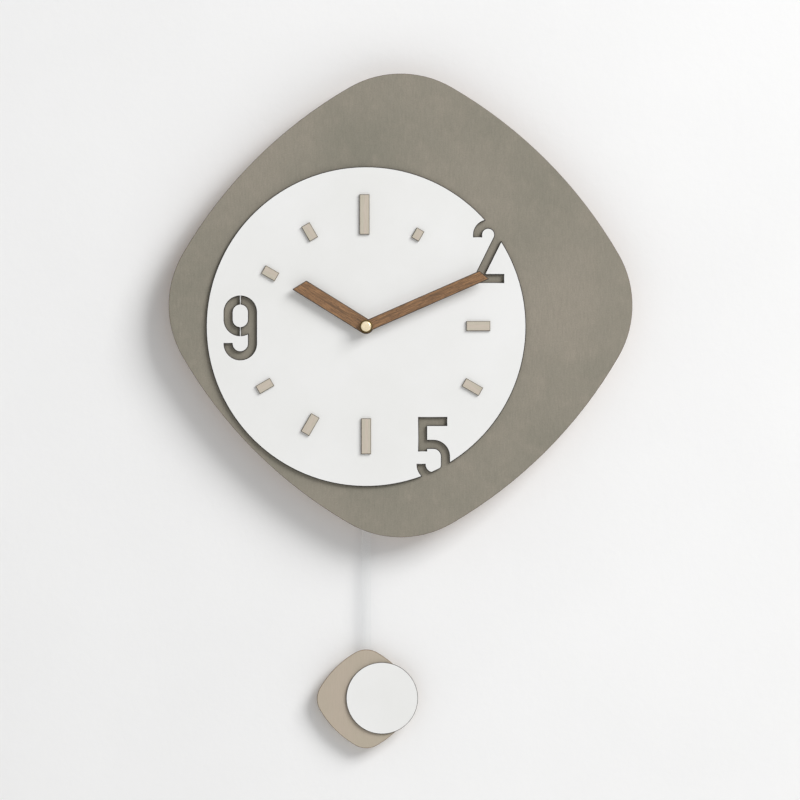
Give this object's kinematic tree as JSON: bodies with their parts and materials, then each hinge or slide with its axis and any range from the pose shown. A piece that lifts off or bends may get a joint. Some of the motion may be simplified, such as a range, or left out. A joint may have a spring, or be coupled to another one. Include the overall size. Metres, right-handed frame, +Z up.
{
  "type": "pendulum wall clock",
  "caption": "Wall clock: a round white dial with cut-out numerals and sticks on a rounded diamond panel, with a quartz movement behind and a clear rod with a bob below.",
  "frame": {"origin": "the hands' axis on the wall plane, at the back face of the movement case", "axes": "+X to the viewer's right, +Z up, the dial faces -Y and the wall is the plane Y = 0"},
  "size_m": [0.3998, 0.0438, 0.5826],
  "materials": {
    "panel": "matte laminate",
    "dial": "white faced board",
    "hand_wood": "walnut veneer",
    "brass": "polished",
    "black_plastic": "moulded black",
    "steel": "zinc plated",
    "rubber": "soft rubber",
    "gear_plastic": "natural acetal",
    "knob_plastic": "moulded white",
    "ferrite": "sintered magnet",
    "copper": "enamelled copper wire",
    "board": "printed circuit board",
    "cell": "plain cell jacket",
    "clear_plastic": "clear acrylic",
    "bob_board": "light wood board",
    "marker": "light wood sticks"
  },
  "bodies": {
    "clock": {"back_panel": "panel", "dial": "dial", "case_front": "black_plastic", "case_back": "black_plastic", "case_screws": "steel", "bushing": "brass", "rubber_gasket": "rubber", "dial_washer": "brass", "dial_nut": "brass", "stator_plate": "steel", "coil_core": "steel", "motor_bobbin": "knob_plastic", "motor_winding": "copper", "clock_board": "board", "quartz_crystal": "steel", "drive_board": "board", "battery": "cell", "contact_plus": "steel", "contact_minus": "steel", "drive_bobbin": "knob_plastic", "drive_winding": "copper", "pivot_pin": "steel", "hanger_plate": "steel", "hanger_screws": "steel", "marker_12": "marker", "marker_1": "marker", "marker_3": "marker", "marker_4": "marker", "marker_6": "marker", "marker_7": "marker", "marker_8": "marker", "marker_10": "marker", "marker_11": "marker"},
    "minute": {"minute_arbor": "brass", "centre_wheel": "gear_plastic", "minute_hand": "hand_wood", "hand_nut": "brass"},
    "hour": {"hour_wheel": "gear_plastic", "hour_hand": "hand_wood"},
    "third": {"third_wheel": "gear_plastic"},
    "seconds": {"seconds_wheel": "gear_plastic"},
    "motion": {"motion_wheel": "gear_plastic", "setting_knob": "knob_plastic"},
    "rotor": {"rotor_magnet": "ferrite", "rotor_pinion": "gear_plastic"},
    "pendulum": {"swing_lever": "black_plastic", "drive_magnet": "ferrite", "pendulum_rod": "clear_plastic", "bob_plate": "bob_board", "bob_disc": "dial"}
  },
  "joints": [
    {"name": "minute_turn", "type": "hinge", "parent": "clock", "child": "minute", "pos_m": [0, -0.0402, 0], "axis": [0, 1, 0], "continuous": true},
    {"name": "hour_turn", "type": "hinge", "parent": "clock", "child": "hour", "pos_m": [0, -0.035, 0], "axis": [0, 1, 0], "continuous": true},
    {"name": "motion_turn", "type": "hinge", "parent": "clock", "child": "motion", "pos_m": [0.01039, -0.008, 0.006], "axis": [0, 1, 0], "continuous": true},
    {"name": "third_turn", "type": "hinge", "parent": "clock", "child": "third", "pos_m": [-0.01001, -0.007, 0.00578], "axis": [0, 1, 0], "continuous": true},
    {"name": "seconds_turn", "type": "hinge", "parent": "clock", "child": "seconds", "pos_m": [-0.01321, -0.006, -0.00302], "axis": [0, 1, 0], "continuous": true},
    {"name": "rotor_turn", "type": "hinge", "parent": "clock", "child": "rotor", "pos_m": [-0.024, -0.008, -0.0146], "axis": [0, 1, 0], "continuous": true},
    {"name": "pendulum_swing", "type": "hinge", "parent": "clock", "child": "pendulum", "pos_m": [0, -0.005, -0.055], "axis": [0, 1, 0], "range_deg": [-8, 8]}
  ],
  "couplings": [
    {"joint": "hour_turn", "follows": "minute_turn", "ratio": 0.083333},
    {"joint": "motion_turn", "follows": "minute_turn", "ratio": -0.33333},
    {"joint": "third_turn", "follows": "minute_turn", "ratio": -7.5},
    {"joint": "seconds_turn", "follows": "minute_turn", "ratio": 60}
  ]
}
